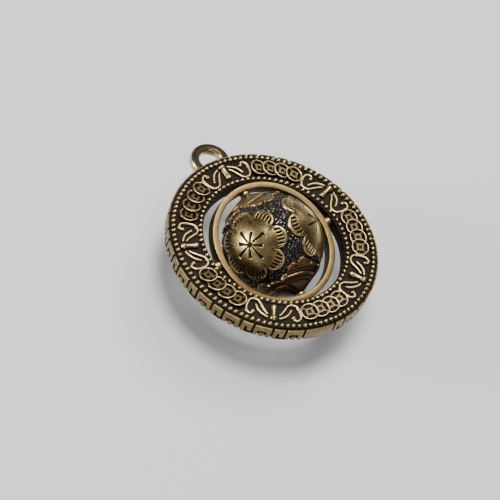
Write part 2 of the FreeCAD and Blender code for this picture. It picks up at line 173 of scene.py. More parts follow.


# brass that is black in the hollows and bright where its attribute says: rubbed where it stands proud, and
# on the bail a painted highlight; stain is how much the rubbing wanders, and shine is how proud a point is
# before it turns bright
def antiqueFinish(name, stain=1.0, gloss=0.0, warmth=0.4, shine=0.78, silver=0.0):
    shader = Shader(name)
    place = shader.place(ringCentre)
    # how rubbed each point is, and on the bail a painted highlight
    proudAndHighlight = shader.attribute("rubbedAndHighlight")
    warm = shader.attribute("warm")                  # 1 is coppery, -1 is grey
    blotch = shader.noise(place, brass["blotchScale"], 4.0, 0.6)
    grain = shader.noise(place, brass["grainScale"], 3.0, 0.65)
    pits = shader.noise(place, brass["pitScale"], 2.0, 0.5)
    wander = (blotch - 0.5) * stain * brass["wander"] + (grain - 0.5) * stain * brass["wander"]
    rubbedAndHighlight = shader.step(proudAndHighlight + wander, *brass["rubbedAndHighlight"])
    worn = shader.step(proudAndHighlight + wander, *[shine + edge for edge in brass["worn"]])
    base = shader.mix(rubbedAndHighlight, brass["black"], brass["mid"])
    base = shader.mix(worn, base, shader.mix(warm, brass["bright"], brass["copper"]))
    tarnish = shader.step(blotch * 0.65 + grain * 0.35 + warm * 0.2, *brass["tarnish"])
    browned = tarnish * rubbedAndHighlight * (warm * brass["warmBrown"] + warmth) * (1 - worn * brass["wornKeeps"])
    base = shader.mix(browned, base, brass["brown"])
    grey = shader.node("ShaderNodeRGBToBW", {}, {0: base})
    base = shader.mix(silver - warm * brass["greying"], base, grey)
    rough = (1 - rubbedAndHighlight) * brass["roughBlack"] + brass["rough"] - gloss
    rough += (grain - 0.5) * brass["roughGrain"]
    low, gain = brass["metal"]
    shader.surface.inputs["Specular IOR Level"].default_value = brass["specular"]
    return shader.finish(base, rough, rubbedAndHighlight * gain + low, grain * 0.7 + pits * 0.3, brass["bump"],
                         brass["bumpDepth"])


satin = {"face": ((0.125, 0.081, 0.027), (0.300, 0.204, 0.078)), "stain": (0.160, 0.094, 0.032),
         "wall": ((0.022, 0.015, 0.008), (0.150, 0.094, 0.036)), "low": 0.85, "high": 1.16}


# satin brass with fine lines that run round the ring
def makeBrushed():
    shader = Shader("innerRingSatin")
    place = shader.place(ringCentre)
    tilt = math.atan2(spinAxis.z, spinAxis.y)
    flat = shader.node("ShaderNodeMapping", {}, {"Vector": place, "Rotation": (-tilt, 0.0, 0.0)})
    x, y, z = shader.split(flat)
    radius = (x * x + y * y).math("SQRT")
    turn = y.math("ARCTAN2", x)
    lines = shader.node("ShaderNodeCombineXYZ", {}, {0: radius * 16.0, 1: turn * 5.0, 2: z * 6.0})
    streak = shader.noise(lines, 1.0, 3.0, 0.7)
    blotch = shader.noise(place, 0.55, 3.0, 0.6)
    grain = shader.noise(place, 7.0, 3.0, 0.6)
    edge = shader.step(z.math("ABSOLUTE"), satin["low"], satin["high"])
    face = shader.mix(shader.step(streak, 0.30, 0.72), *satin["face"])
    face = shader.mix(shader.step(blotch, 0.45, 0.72) * 0.5, face, satin["stain"])
    wall = shader.mix(shader.step(grain, 0.35, 0.7), *satin["wall"])
    rough = (streak - 0.5) * 0.25 + 0.36 + (1 - edge) * 0.12
    return shader.finish(shader.mix(edge, wall, face), rough, 1.0, streak + grain * 0.4, 0.30, 0.03)


# stores how proud each point is, from 0 in a hollow to 1 on an edge that hands rub; on the bail it stores a
# painted highlight instead
def rub(bm, amount):
    layer = bm.verts.layers.float.get("rubbedAndHighlight") or bm.verts.layers.float.new("rubbedAndHighlight")
    for vert in bm.verts:
        vert[layer] = amount(vert.co)


def ramp(value, low, high):
    return max(0.0, min(1.0, (value - low) / (high - low)))


# rubbed amount that grows from the ring's ground to a height above it
def aboveGround(height):
    return lambda spot: ramp(abs(spot.z) - groundHeight, 0.04, height)


# a finished mesh becomes a piece that rides a body and stands for its nodes
def newPiece(bm, name, body, material, nodes, place=None, sharp=38):
    if place is not None:
        bmesh.ops.transform(bm, matrix=place, verts=bm.verts)
    mesh = bpy.data.meshes.new(name)
    bm.to_mesh(mesh)
    bm.free()
    mesh.shade_smooth()
    mesh.set_sharp_from_angle(angle=math.radians(sharp))
    mesh.materials.append(material)
    piece = bpy.data.objects.new(name, mesh)
    scene.collection.objects.link(piece)
    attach(piece, body)
    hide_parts(*nodes)
    return piece


# a profile of (radius, height) points spun about Z
def spun(profile, steps):
    bm = bmesh.new()
    corners = [bm.verts.new((radius, 0, height)) for radius, height in profile]
    edges = [bm.edges.new(pair) for pair in zip(corners, corners[1:] + corners[:1])]
    bmesh.ops.spin(bm, geom=corners + edges, cent=(0, 0, 0), axis=(0, 0, 1), dvec=(0, 0, 0),
                   angle=math.tau, steps=steps, use_merge=True, use_duplicate=False)
    bmesh.ops.remove_doubles(bm, verts=bm.verts, dist=1e-4)
    bmesh.ops.recalc_face_normals(bm, faces=bm.faces)
    return bm


# rounds every edge that turns by more than the limit
def bevelSharp(bm, offset, segments=2, limit=35):
    least = math.radians(limit)
    edges = [edge for edge in bm.edges if edge.is_manifold and edge.calc_face_angle(0) > least]
    bmesh.ops.bevel(bm, geom=edges, offset=offset, offset_type="OFFSET", segments=segments, profile=0.5,
                    affect="EDGES", clamp_overlap=True, material=-1)


# puts a copy of one bmesh in another, moved by a matrix
def addCopy(target, source, place):
    scrap = bpy.data.meshes.new("scrap")
    source.to_mesh(scrap)
    scrap.transform(place)
    target.from_mesh(scrap)
    bpy.data.meshes.remove(scrap)


outerRing = {"hole": 13.4, "lip": 0.16, "step": 19.36, "core": 19.55, "stepDepth": 0.22, "edge": 0.05,
             "lipShine": 0.30, "steps": 300}


def makeOuterRing(material):
    hole, lip, step, edge = (outerRing[part] for part in ("hole", "lip", "step", "edge"))
    low = groundHeight - outerRing["stepDepth"]
    half = [(outerRing["core"], low), (step, low), (step, groundHeight - edge), (step - 0.08, groundHeight),
            (hole + lip, groundHeight), (hole + 0.04, groundHeight - edge), (hole, groundHeight - lip)]
    profile = half + [(radius, -height) for radius, height in reversed(half)]
    bm = spun(profile, outerRing["steps"])
    rub(bm, lambda spot: outerRing["lipShine"] * ramp(hole + 0.12 - spot.xy.length, 0, 0.1)
        * ramp(abs(spot.z), groundHeight - 0.2, groundHeight - 0.06))
    newPiece(bm, "outerRing", "frame", material, ["outer_ring"], toRing)
    print("outer ring made")


keyBand = {"core": 19.68, "inner": 19.5, "width": 0.44, "period": 17.1, "count": 20, "start": -90.3,
           "shortLeg": 3.3, "tallLeg": 6.9, "archLeft": 10.1, "archRight": 13.7, "archTop": -0.08,
           "shortTop": 0.28, "footLine": -1.02, "rounding": 0.075, "cut": 1.35, "root": 0.03, "edge": 0.05,
           "shine": 0.80, "steps": 300}


# a raised block of the rim, drawn flat in degrees and millimetres, then bent round the ring
def keyBlock(length, grooves):
    bm = bmesh.new()
    bmesh.ops.create_grid(bm, x_segments=1, y_segments=1, size=0.5)
    bmesh.ops.scale(bm, vec=(length, 2 * bandHalf, 1), verts=bm.verts)
    bmesh.ops.translate(bm, vec=(length / 2, 0, 0), verts=bm.verts)
    across = {place for low, high, bottom, top in grooves for place in (low, high)}
    across |= {place * keyBand["cut"] for place in range(1, math.ceil(length / keyBand["cut"]))}
    upright = {place for low, high, bottom, top in grooves for place in (bottom, top)}
    for places, normal in ((across, (1, 0, 0)), (upright, (0, 1, 0))):
        for place in sorted(places):
            spot = [place * part for part in normal]
            bmesh.ops.bisect_plane(bm, geom=bm.verts[:] + bm.edges[:] + bm.faces[:], dist=1e-5,
                                   plane_co=spot, plane_no=normal)
    sunk = []
    for face in bm.faces:
        middle = face.calc_center_median()
        if any(low < middle.x < high and bottom < middle.y < top for low, high, bottom, top in grooves):
            sunk.append(face)
    bmesh.ops.delete(bm, geom=sunk, context="FACES")
    raised = bmesh.ops.extrude_face_region(bm, geom=bm.faces[:], use_keep_orig=True)
    tops = [item for item in raised["geom"] if isinstance(item, bmesh.types.BMVert)]
    bmesh.ops.translate(bm, vec=(0, 0, 1), verts=tops)
    for vert in bm.verts:
        angle = math.radians(vert.co.x)
        radius = keyBand["core"] - keyBand["root"] if vert.co.z < 0.5 else rimRadius
        vert.co = Vector((radius * math.cos(angle), radius * math.sin(angle), vert.co.y))
    bmesh.ops.recalc_face_normals(bm, faces=bm.faces)
    bevelSharp(bm, keyBand["rounding"], 2, 50)
    return bm


def makeKeyBand(material):
    half = math.degrees(keyBand["width"] / 2 / rimRadius)
    wide = keyBand["width"] / 2
    shift = -half                      # the block starts at the slot's edge
    shortLeg, tallLeg = keyBand["shortLeg"] + shift, keyBand["tallLeg"] + shift
    archLeft, archRight = keyBand["archLeft"] + shift, keyBand["archRight"] + shift
    foot, arch = keyBand["footLine"], keyBand["archTop"]
    past = bandHalf + 0.1              # a groove that runs out at the band's edge
    grooves = [
        (shortLeg - half, shortLeg + half, foot - wide, keyBand["shortTop"]),
        (shortLeg - half, tallLeg + half, foot - wide, foot + wide),
        (tallLeg - half, tallLeg + half, foot - wide, past),
        (archLeft - half, archLeft + half, -past, arch + wide),
        (archRight - half, archRight + half, -past, arch + wide),
        (archLeft - half, archRight + half, arch - wide, arch + wide)]
    block = keyBlock(keyBand["period"] - 2 * half, grooves)
    plain = keyBlock(360 - keyBand["period"] * keyBand["count"] - 2 * half, [])
    inner, core, edge = keyBand["inner"], keyBand["core"], keyBand["edge"]
    bm = spun([(inner, -bandHalf + edge), (inner + edge, -bandHalf), (core - edge, -bandHalf),
               (core, -bandHalf + edge), (core, bandHalf - edge), (core - edge, bandHalf),
               (inner + edge, bandHalf), (inner, bandHalf - edge)], keyBand["steps"])
    for place in range(keyBand["count"]):
        addCopy(bm, block, turned(keyBand["start"] + half + place * keyBand["period"]))
    addCopy(bm, plain, turned(keyBand["start"] + half + keyBand["count"] * keyBand["period"]))
    rub(bm, lambda spot: keyBand["shine"] * ramp(spot.xy.length, core + 0.02, rimRadius - edge))
    newPiece(bm, "rimKeyBand", "frame", material, ["rim_key_band"], toRing, 50)
    print("rim key band made")


# the last pair is how far from the middle of the wire's section the painted highlight starts and becomes
# full
bail = {"outer": 3.88, "eye": 2.1, "half": 1.0, "foot": 19.75, "squareness": 0.72, "sides": 20, "steps": 72,
        "dull": 0.05, "shine": 0.90, "highlightFromMiddle": (0.30, 0.66)}


# a ring with a soft ridge on its outside, pushed back to the rim where it would run into it
def makeBail(material):
    outer, eye, half, squareness = (bail[part] for part in ("outer", "eye", "half", "squareness"))
    middle = (outer + eye) / 2
    profile = []
    for place in range(bail["sides"]):
        turn = math.tau * place / bail["sides"]
        across = math.copysign(abs(math.cos(turn)) ** squareness, math.cos(turn))
        along = math.copysign(abs(math.sin(turn)) ** squareness, math.sin(turn))
        profile.append((middle + across * (outer - eye) / 2, along * half))
    bm = spun(profile, bail["steps"])
    reach = -ringCentre.y / mm
    for vert in bm.verts:
        away = Vector((vert.co.x, vert.co.y + reach))
        if away.length < bail["foot"]:
            away = away.normalized() * bail["foot"]
            vert.co.x, vert.co.y = away.x, away.y - reach
    bmesh.ops.remove_doubles(bm, verts=bm.verts, dist=0.004)
    bmesh.ops.dissolve_degenerate(bm, edges=bm.edges, dist=0.002)
    # painted highlight: the inner and outer walls of the bail are made bright and the faces between them
    # dark, standing in for lines of reflected light
    rub(bm, lambda spot: bail["dull"] + bail["shine"]
        * ramp(abs(spot.xy.length - middle), *bail["highlightFromMiddle"]))
    newPiece(bm, "bail", "frame", material, ["bail"], Matrix.Scale(mm, 4), 60)
    print("bail made")


beadRow = {"radius": 0.465, "lift": 0.08, "outerRow": 18.93, "outerCount": 110, "innerRow": 14.0,
           "innerCount": 80, "sizeSpread": (-0.05, 0.04), "placeSpread": 0.03, "sunk": 0.08,
           "shineHeight": 0.44}


def makeBeads(material):
    for side, flip in faces.items():
        for row in ("outer", "inner"):
            rng = random.Random(row + side)
            bm = bmesh.new()
            count, radius, spread = beadRow[row + "Count"], beadRow[row + "Row"], beadRow["placeSpread"]
            for place in range(count):
                size = beadRow["radius"] * (1 + rng.uniform(*beadRow["sizeSpread"]))
                bead = bmesh.ops.create_uvsphere(bm, u_segments=10, v_segments=7, radius=size)["verts"]
                spot = Vector((radius + rng.uniform(-spread, spread), 0, groundHeight + beadRow["lift"]))
                spot.rotate(Euler((0, 0, math.tau * (place + rng.uniform(-spread, spread)) / count)))
                bmesh.ops.translate(bm, vec=spot, verts=bead)
            bmesh.ops.bisect_plane(bm, geom=bm.verts[:] + bm.edges[:] + bm.faces[:], clear_inner=True,
                                   plane_co=(0, 0, groundHeight - beadRow["sunk"]), plane_no=(0, 0, 1))
            rims = [edge for edge in bm.edges if edge.is_boundary]
            bmesh.ops.holes_fill(bm, edges=rims, sides=0)
            rub(bm, aboveGround(beadRow["shineHeight"]))
            newPiece(bm, f"beads_{row}_{side}", "frame", material, [f"beads_{row}_{side}"],
                     toRing @ flip, 60)
    print("bead rows made")


bar = {"inner": 14.8, "outer": 18.38, "head": 0.74, "neck": 0.50, "foot": 0.62, "lift": 0.16,
       "footPlace": 0.15, "footLength": 0.15, "headPlace": 0.84, "headLength": 0.12, "shineHeight": 0.60}


# how thick the bar is at a share of its length
def barRadius(share):
    ends = min(share / 0.10, (1 - share) / 0.16, 1)
    swell = (bar["foot"] - bar["neck"]) * math.exp(-((share - bar["footPlace"]) / bar["footLength"]) ** 2)
    knob = (bar["head"] - bar["neck"]) * math.exp(-((share - bar["headPlace"]) / bar["headLength"]) ** 2)
    return math.sqrt(max(0.0, 1 - (1 - ends) ** 2)) * (bar["neck"] + swell + knob)


def makeBars(material):
    bm = bmesh.new()
    bmesh.ops.create_uvsphere(bm, u_segments=20, v_segments=26, radius=1)
    bmesh.ops.rotate(bm, verts=bm.verts, cent=(0, 0, 0), matrix=Matrix.Rotation(math.pi / 2, 3, "Y"))
    for vert in bm.verts:
        share = math.acos(max(-1, min(1, -vert.co.x))) / math.pi
        around = Vector((0, vert.co.y, vert.co.z))
        if around.length > 1e-6:
            around.normalize()
        around *= barRadius(share)
        along = bar["inner"] + share * (bar["outer"] - bar["inner"])
        vert.co = Vector((along, around.y, around.z + groundHeight + bar["lift"]))
    rub(bm, aboveGround(bar["shineHeight"]))
    for side, flip in faces.items():
        for sector in range(sectors):
            copy = bm.copy()
            newPiece(copy, f"bar_{side}_{sector + 1}", "frame", material,
                     [f"bar_{side}_{sector + 1}"], toRing @ flip @ turned(90 - sector * 72), 70)
    bm.free()
    print("bars made")


# the wires of a scroll: along the ring from the bar, out from the middle of the ring, and thickness
scroll = {
    "middle": 16.4, "radius": 0.28, "resolution": 5, "lift": 0.14, "longBlob": 0.42, "shortBlob": 0.29,
    "shineHeight": 0.36,
    "long": [(1.05, 17.0, 0.85), (1.5, 16.6, 1.0), (2.25, 15.6, 1.05), (2.95, 14.7, 1.0),
             (3.9, 14.5, 1.05), (4.85, 14.95, 1.1), (5.05, 16.2, 1.15), (4.9, 17.5, 1.1),
             (4.25, 18.05, 1.05), (3.65, 17.9, 1.0), (3.6, 17.3, 1.0)],
    "short": [(1.0, 17.65, 0.85), (1.55, 17.5, 1.05), (2.3, 17.1, 1.1), (3.0, 16.4, 1.0),
              (3.4, 15.75, 0.9)],
}


# a soft wire on a smooth line, as a mesh
def makeWire(stations, side):
    curve = bpy.data.curves.new("wire", "CURVE")
    curve.dimensions = "3D"
    curve.bevel_depth = scroll["radius"]
    curve.bevel_resolution = 2
    curve.use_fill_caps = True
    line = curve.splines.new("NURBS")
    line.points.add(len(stations) - 1)
    for point, (along, out, thick) in zip(line.points, stations):
        angle = side * along / scroll["middle"]
        point.co = (out * math.cos(angle), out * math.sin(angle), groundHeight + scroll["lift"], 1)
        point.radius = thick
    line.order_u = 3
    line.use_endpoint_u = True
    line.resolution_u = scroll["resolution"]
    holder = bpy.data.objects.new("wire", curve)
    mesh = bpy.data.meshes.new_from_object(holder)
    bpy.data.objects.remove(holder)
    bpy.data.curves.remove(curve)
    return mesh


def makeScrolls(material):
    bm = bmesh.new()
    for side in (-1, 1):
        for which in ("long", "short"):
            mesh = makeWire(scroll[which], side)
            bm.from_mesh(mesh)
            bpy.data.meshes.remove(mesh)
            along, out, thick = scroll[which][-1]
            angle = side * along / scroll["middle"]
            spot = (out * math.cos(angle), out * math.sin(angle), groundHeight + scroll["lift"])
            bmesh.ops.create_icosphere(bm, subdivisions=2, radius=scroll[which + "Blob"],
                                       matrix=Matrix.Translation(spot))
    bmesh.ops.remove_doubles(bm, verts=bm.verts, dist=1e-4)
    bmesh.ops.recalc_face_normals(bm, faces=bm.faces)
    rub(bm, aboveGround(scroll["shineHeight"]))
    for side, flip in faces.items():
        for sector in range(sectors):
            newPiece(bm.copy(), f"scroll_{side}_{sector + 1}", "frame", material,
                     [f"scroll_{side}_{sector + 1}"], toRing @ flip @ turned(90 - sector * 72), 70)
    bm.free()
    print("scrolls made")


coin = {"radius": 1.74, "thick": 0.36, "first": 24.0, "step": 8.0, "lean": 9.5, "square": 0.34,
        "slotNear": 0.70, "slotFar": 1.34, "slotHalf": 0.70, "sink": 0.27, "rim": 0.17, "rise": 0.21,
        "shine": 0.48}


# a disc with a square hole, four slots and a raised rim
def coinMesh():
    bm = bmesh.new()
    bmesh.ops.create_circle(bm, cap_ends=True, segments=40, radius=coin["radius"] - 0.04)
    near, far, wide, square = coin["slotNear"], coin["slotFar"], coin["slotHalf"], coin["square"]
    for normal in ((1, 0, 0), (0, 1, 0)):
        for place in (-far, -near, -wide, -square, square, wide, near, far):
            bmesh.ops.bisect_plane(bm, geom=bm.verts[:] + bm.edges[:] + bm.faces[:], dist=1e-5,
                                   plane_co=[place * part for part in normal], plane_no=normal)
    body = bmesh.ops.extrude_face_region(bm, geom=bm.faces[:], use_keep_orig=True)
    tops = [item for item in body["geom"] if isinstance(item, bmesh.types.BMVert)]
    bmesh.ops.translate(bm, vec=(0, 0, coin["thick"]), verts=tops)
    bmesh.ops.recalc_face_normals(bm, faces=bm.faces)
    groups = {}
    for face in bm.faces:
        middle = face.calc_center_median()
        if middle.z < coin["thick"] - 1e-4:
            continue
        side, out = sorted((abs(middle.x), abs(middle.y)))
        if out < square:
            groups.setdefault("square", []).append(face)
        elif near < out < far and side < wide:
            groups.setdefault((round(middle.x / out), round(middle.y / out)), []).append(face)
    for region in groups.values():
        bmesh.ops.inset_region(bm, faces=region, thickness=0.05, depth=-coin["sink"], use_even_offset=True)
    rim = spun([(coin["radius"] - coin["rim"] + coin["rim"] * math.cos(turn),
                 coin["thick"] - 0.03 + coin["rim"] * 0.95 * math.sin(turn))
                for turn in [math.tau * place / 8 for place in range(8)]], 40)
    rub(bm, lambda spot: coin["shine"] * ramp(spot.z, coin["thick"] - 0.08, coin["thick"])
        * (1 - 0.5 * ramp(spot.xy.length, coin["radius"] - 0.42, coin["radius"] - 0.3)))
    rub(rim, lambda spot: ramp(spot.z, coin["thick"] - 0.06, coin["thick"] + 0.10))
    addCopy(bm, rim, Matrix())
    rim.free()
    return bm


def makeCoins(material):
    single = coinMesh()
    lean = Matrix.Rotation(math.radians(coin["lean"]), 4, "X")
    string = bmesh.new()
    for place in range(4):
        rise = Matrix.Translation((scroll["middle"], 0, groundHeight + coin["rise"]))
        addCopy(string, single, turned(coin["first"] + place * coin["step"]) @ rise @ lean)
    for side, flip in faces.items():
        for sector in range(sectors):
            newPiece(string.copy(), f"coins_{side}_{sector + 1}", "frame", material,
                     [f"coins_{side}_{sector + 1}"], toRing @ flip @ turned(90 - sector * 72), 50)
    single.free()
    string.free()
    print("coin strings made")


innerRing = {"outer": 12.15, "inner": 11.0, "half": 1.2, "rounding": 0.11, "steps": 240}


def makeInnerRing(material):
    outer, inner, half = innerRing["outer"], innerRing["inner"], innerRing["half"]
    bm = spun([(inner, -half), (outer, -half), (outer, half), (inner, half)], innerRing["steps"])
    bevelSharp(bm, innerRing["rounding"], 3, 60)
    newPiece(bm, "innerRing", "gimbal", material, ["inner_ring"], toInner, 50)
    print("inner ring made")


# bore, near end, far end, radius, and how far the end is pushed out at the bore
fittings = {
    "ring_pin": (0, 11.15, 15.6, 0.6, 0), "ring_spacer": (0.6, 12.22, 13.34, 1.0, 0),
    "ball_spacer": (0.6, 10.38, 10.94, 0.95, 0), "ball_bush": (0.65, 7.6, 9.95, 1.3, 0.35),
    "ball_axle": (0, -12.08, 12.08, 0.6, 0),
}


turnedEdge = {"rounding": 0.09, "dull": 0.35, "shine": 0.6}


# a small turned pin or collar, with its edges rounded
def fitting(name, kind, body, material, place):
    bore, near, far, radius, push = fittings[kind]
    bore = max(bore, 1e-4)
    bm = spun([(bore, near), (radius, near), (radius, far), (bore, far + push)], 32)
    bmesh.ops.dissolve_degenerate(bm, edges=bm.edges, dist=0.002)
    bevelSharp(bm, turnedEdge["rounding"], 2, 60)
    rub(bm, lambda spot: turnedEdge["dull"] + turnedEdge["shine"]
        * ramp(spot.xy.length, radius * 0.5, radius))
    newPiece(bm, name, body, material, [name], place, 50)


def makeFittings(material):
    for name, yaw in (("right", 90), ("left", -90)):
        place = toRing @ Matrix.Rotation(math.radians(yaw), 4, "Y")
        fitting(f"ring_pin_{name}", "ring_pin", "frame", material, place)
        fitting(f"ring_spacer_{name}", "ring_spacer", "frame", material, place)
    for name, roll in (("upper", 0), ("lower", 180)):
        place = toBall @ Matrix.Rotation(math.radians(roll), 4, "X")
        fitting(f"ball_spacer_{name}", "ball_spacer", "gimbal", material, place)
        fitting(f"ball_bush_{name}", "ball_bush", "ball", material, place)
    fitting("ball_axle", "ball_axle", "gimbal", material, toBall)
    print("pins, spacers and bushes made")


# a flower's azimuth, lift above the middle of the ball, size, and twist in degrees
flowers = [(-54.5, 1.0, 1.0, 90), (40.5, -4.0, 1.08, 180), (129, 0.0, 0.95, 90), (218, 0.0, 0.95, 180)]
ball = {"ground": 8.95, "subdivisions": 8, "seamTurn": -99.5}


def smooth(value, low, high):
    share = np.clip((value - low) / (high - low), 0, 1)
    return share * share * (3 - 2 * share)


# a flower: angles are seen from the middle of the ball in degrees, and heights are in millimetres
flowerShape = {
    "rise": 0.46, "edge": 1.7, "rim": 0.06, "dome": 0.20, "domeFrom": 6, "domeTo": 27,
    "hub": 34.4, "petals": 7, "petalPlace": 29.2, "petalRadius": 15.3, "valley": 0.13, "valleyHalf": 1.8,
    "dashPlace": 6.0, "dashStep": 4.3, "dashLength": 2.9, "dashWidth": 0.78, "dashDepth": 0.30,
    "dashLean": 0.055, "dashBend": 0.42,
    "strokes": 8, "strokeTurn": 0.2, "strokeShort": 14.0, "strokeLong": 19.5, "strokeDepth": 0.32,
    "shine": 0.73, "hubShine": 0.24, "rimShine": 0.25,
}


# the engraved rosette: eight tapered strokes that leave the middle
def rosette(x, y):
    lines = np.zeros(len(x))
    for stroke in range(flowerShape["strokes"]):
        turn = math.tau * stroke / flowerShape["strokes"] + flowerShape["strokeTurn"]
        reach = flowerShape["strokeShort"] if stroke % 2 else flowerShape["strokeLong"]
        along, across = x * math.cos(turn) + y * math.sin(turn), y * math.cos(turn) - x * math.sin(turn)
        half = 0.55 + 1.05 * np.clip(along / reach, 0, 1) ** 2
        past = np.maximum(np.maximum(along - reach, -along), 0)
        lines = np.maximum(lines, 1 - smooth(np.hypot(across / half, past / 0.6), 0.7, 1.5))
    return lines


# one flower: its relief, how far inside its outline each point is in degrees, and how rubbed
def flowerRelief(points, azimuth, lift, size, twist):
    facing = Euler((0, -math.radians(lift), math.radians(azimuth))).to_matrix()
    centre, east, north = (np.array(axis) for axis in facing.transposed())
    away = np.degrees(np.arccos(np.clip(points @ centre, -1, 1))) / size
    sideways, upward = points @ east, points @ north
    span = np.maximum(np.hypot(sideways, upward), 1e-9)
    x, y = away * sideways / span, away * upward / span
    inside = flowerShape["hub"] - away
    dashes = np.zeros(len(points))
    valleys = np.zeros(len(points))
    for petal in range(flowerShape["petals"]):
        turn = math.radians(twist) + math.tau * petal / flowerShape["petals"]
        along, across = x * math.cos(turn) + y * math.sin(turn), y * math.cos(turn) - x * math.sin(turn)
        middle = np.hypot(along - flowerShape["petalPlace"], across)
        inside = np.maximum(inside, flowerShape["petalRadius"] - middle)
        for place in range(-2, 3):
            middle = flowerShape["petalPlace"] + flowerShape["dashPlace"]
            middle -= flowerShape["dashBend"] * place * place
            lean = flowerShape["dashLean"] * place
            aside = across - place * flowerShape["dashStep"]
            length = (along - middle) + aside * lean
            width = aside - (along - middle) * lean
            far = np.hypot(np.maximum(np.abs(length) - flowerShape["dashLength"], 0), width)
            dashes = np.maximum(dashes, 1 - smooth(far / flowerShape["dashWidth"], 0.5, 1.5))
        between = turn + math.pi / flowerShape["petals"]
        outward = x * math.cos(between) + y * math.sin(between)
        sideward = y * math.cos(between) - x * math.sin(between)
        valley = np.exp(-(sideward / flowerShape["valleyHalf"]) ** 2)
        valleys = np.maximum(valleys, valley * smooth(outward, 21, 31))
    lines = rosette(x, y)
    height = flowerShape["rise"] * smooth(inside, 0, flowerShape["edge"])
    height += flowerShape["dome"] * (1 - smooth(away, flowerShape["domeFrom"], flowerShape["domeTo"]))
    height += flowerShape["rim"] * smooth(inside, 1, 2.5) * (1 - smooth(inside, 3, 6))
    height -= flowerShape["valley"] * valleys
    height -= flowerShape["dashDepth"] * dashes * smooth(inside, 0.5, 1.5)
    height -= flowerShape["strokeDepth"] * lines
    rubbedAndHighlight = flowerShape["shine"] + flowerShape["hubShine"] * (1 - smooth(away, 12, 30))
    rubbedAndHighlight += flowerShape["rimShine"] * (1 - smooth(np.abs(inside - 2.2), 0.6, 2.4))
    rubbedAndHighlight *= smooth(inside, 0.1, 1.5) * (1 - 0.95 * dashes) * (1 - 0.97 * lines) * (1 - 0.5 * valleys)
    return height, inside * size, rubbedAndHighlight


leafShape = {
    "edge": 36.0, "spread": 10.0, "lobe": 7.5, "rise": 0.48, "layer": 0.26, "rim": 0.10, "groove": 0.26,
    "rib": 40.0, "ribFall": 13.0, "lines": (-6.0, -11.5, 5.0), "lineHalf": 0.75, "veinHalf": 0.8,
    "splitHalf": 0.9, "coneStart": 26.0, "coneTop": 10.3,
    "shine": 0.42, "edgeShine": 0.62, "layerShine": 0.55, "clear": (-3.0, -1.4),
}


# the pointed cap over each pole: four lobed leaves in two layers, kept clear of the flowers
def leafRelief(points, inside):
    fromPole = np.degrees(np.arccos(np.clip(np.abs(points[:, 2]), 0, 1)))
    turn = np.degrees(np.arctan2(points[:, 1], points[:, 0])) - flowers[0][0]
    gap = np.sin(np.radians(turn * 2)) ** 2
    lobes = np.abs(np.sin(np.radians(turn * 8 + 4 * np.sin(np.radians(turn * 3)) * 8))) ** 0.7
    edge = leafShape["edge"] + leafShape["spread"] * gap
    edge += leafShape["lobe"] * lobes * (0.35 + 0.65 * gap)
    within = edge - fromPole
    leaf = (turn + 0.7 * (fromPole - 35)) / 90
    past = fromPole - leafShape["rib"] + leafShape["ribFall"] * (leaf % 1)
    wide = np.sin(np.radians(np.maximum(fromPole, 5)))
    split = np.abs((leaf + 0.5) % 1 - 0.5) * 90 * wide
    swept = (turn - 1.1 * (fromPole - edge)) * 8 / 180
    veins = np.abs((swept + 0.5) % 1 - 0.5) * 22.5 * wide
    veins = 0.8 * np.exp(-(veins / leafShape["veinHalf"]) ** 2)
    grooves = veins * smooth(past, 0.8, 2.5) * (1 - smooth(within, 6, 9))
    for line in leafShape["lines"]:
        grooves = np.maximum(grooves, 0.85 * np.exp(-((past - line) / leafShape["lineHalf"]) ** 2))
    grooves = np.maximum(grooves, np.exp(-((past - 1.0) / 0.8) ** 2))
    splits = np.exp(-(split / leafShape["splitHalf"]) ** 2)
    grooves = np.maximum(grooves, splits) * smooth(within, 0.6, 2.2)
    upper = 1 - smooth(past, -0.7, 0.4)
    rise = (leafShape["rise"] * smooth(within, 0, 1.4) + leafShape["layer"] * upper
            + leafShape["rim"] * smooth(within, 0.2, 1.5) * (1 - smooth(within, 2, 5))
            - leafShape["groove"] * grooves)
    cone = 1 / np.cos(np.radians(np.maximum(leafShape["coneStart"] - fromPole, 0)))
    rise = (ball["ground"] + np.maximum(rise, 0)) * cone
    flat = leafShape["coneTop"] / np.maximum(np.abs(points[:, 2]), 0.1)
    rise = np.minimum(rise, flat) - ball["ground"]
    rubbedAndHighlight = leafShape["shine"] + leafShape["edgeShine"] * (1 - smooth(np.abs(within - 1.6), 0.5, 2.6))
    rubbedAndHighlight += leafShape["layerShine"] * (1 - smooth(np.abs(past + 1.4), 0.4, 2.0))
    rubbedAndHighlight *= smooth(within, 0.2, 1.4) * (1 - 0.92 * grooves)
    clear = 1 - smooth(inside, *leafShape["clear"])
    return rise * clear, rubbedAndHighlight * clear


grainShape = {"size": 0.60, "rise": 0.22, "crowding": 1.1, "scatter": 0.011, "shine": (0.30, 1.0)}


# the dark ground: rounded grains, only where nothing is laid over it, some of them rubbed
def grainRelief(points, free):
    rng = np.random.default_rng(7)
    count = int(4 * math.pi * (ball["ground"] / grainShape["size"]) ** 2 * grainShape["crowding"])
    order = np.arange(count) + 0.5
    tilt = np.arccos(1 - 2 * order / count)
    swing = math.pi * (1 + 5 ** 0.5) * order
    seeds = np.stack([np.cos(swing) * np.sin(tilt), np.sin(swing) * np.sin(tilt), np.cos(tilt)], 1)
    seeds += rng.normal(0, grainShape["scatter"], seeds.shape)
    seeds /= np.linalg.norm(seeds, axis=1)[:, None]
    shine = rng.uniform(*grainShape["shine"], count)
    tree = KDTree(count)
    for place, seed in enumerate(seeds):
        tree.insert(seed, place)
    tree.balance()
    rise = np.zeros(len(points))
    rubbedAndHighlight = np.zeros(len(points))
    reach = grainShape["size"] / ball["ground"] * 0.5
    for place in np.nonzero(free)[0]:
        spot, seed, far = tree.find(points[place])
        rise[place] = max(0.0, 1 - (far / reach) ** 2) ** 0.5
        rubbedAndHighlight[place] = shine[seed] * rise[place] ** 3
    return grainShape["rise"] * rise, rubbedAndHighlight


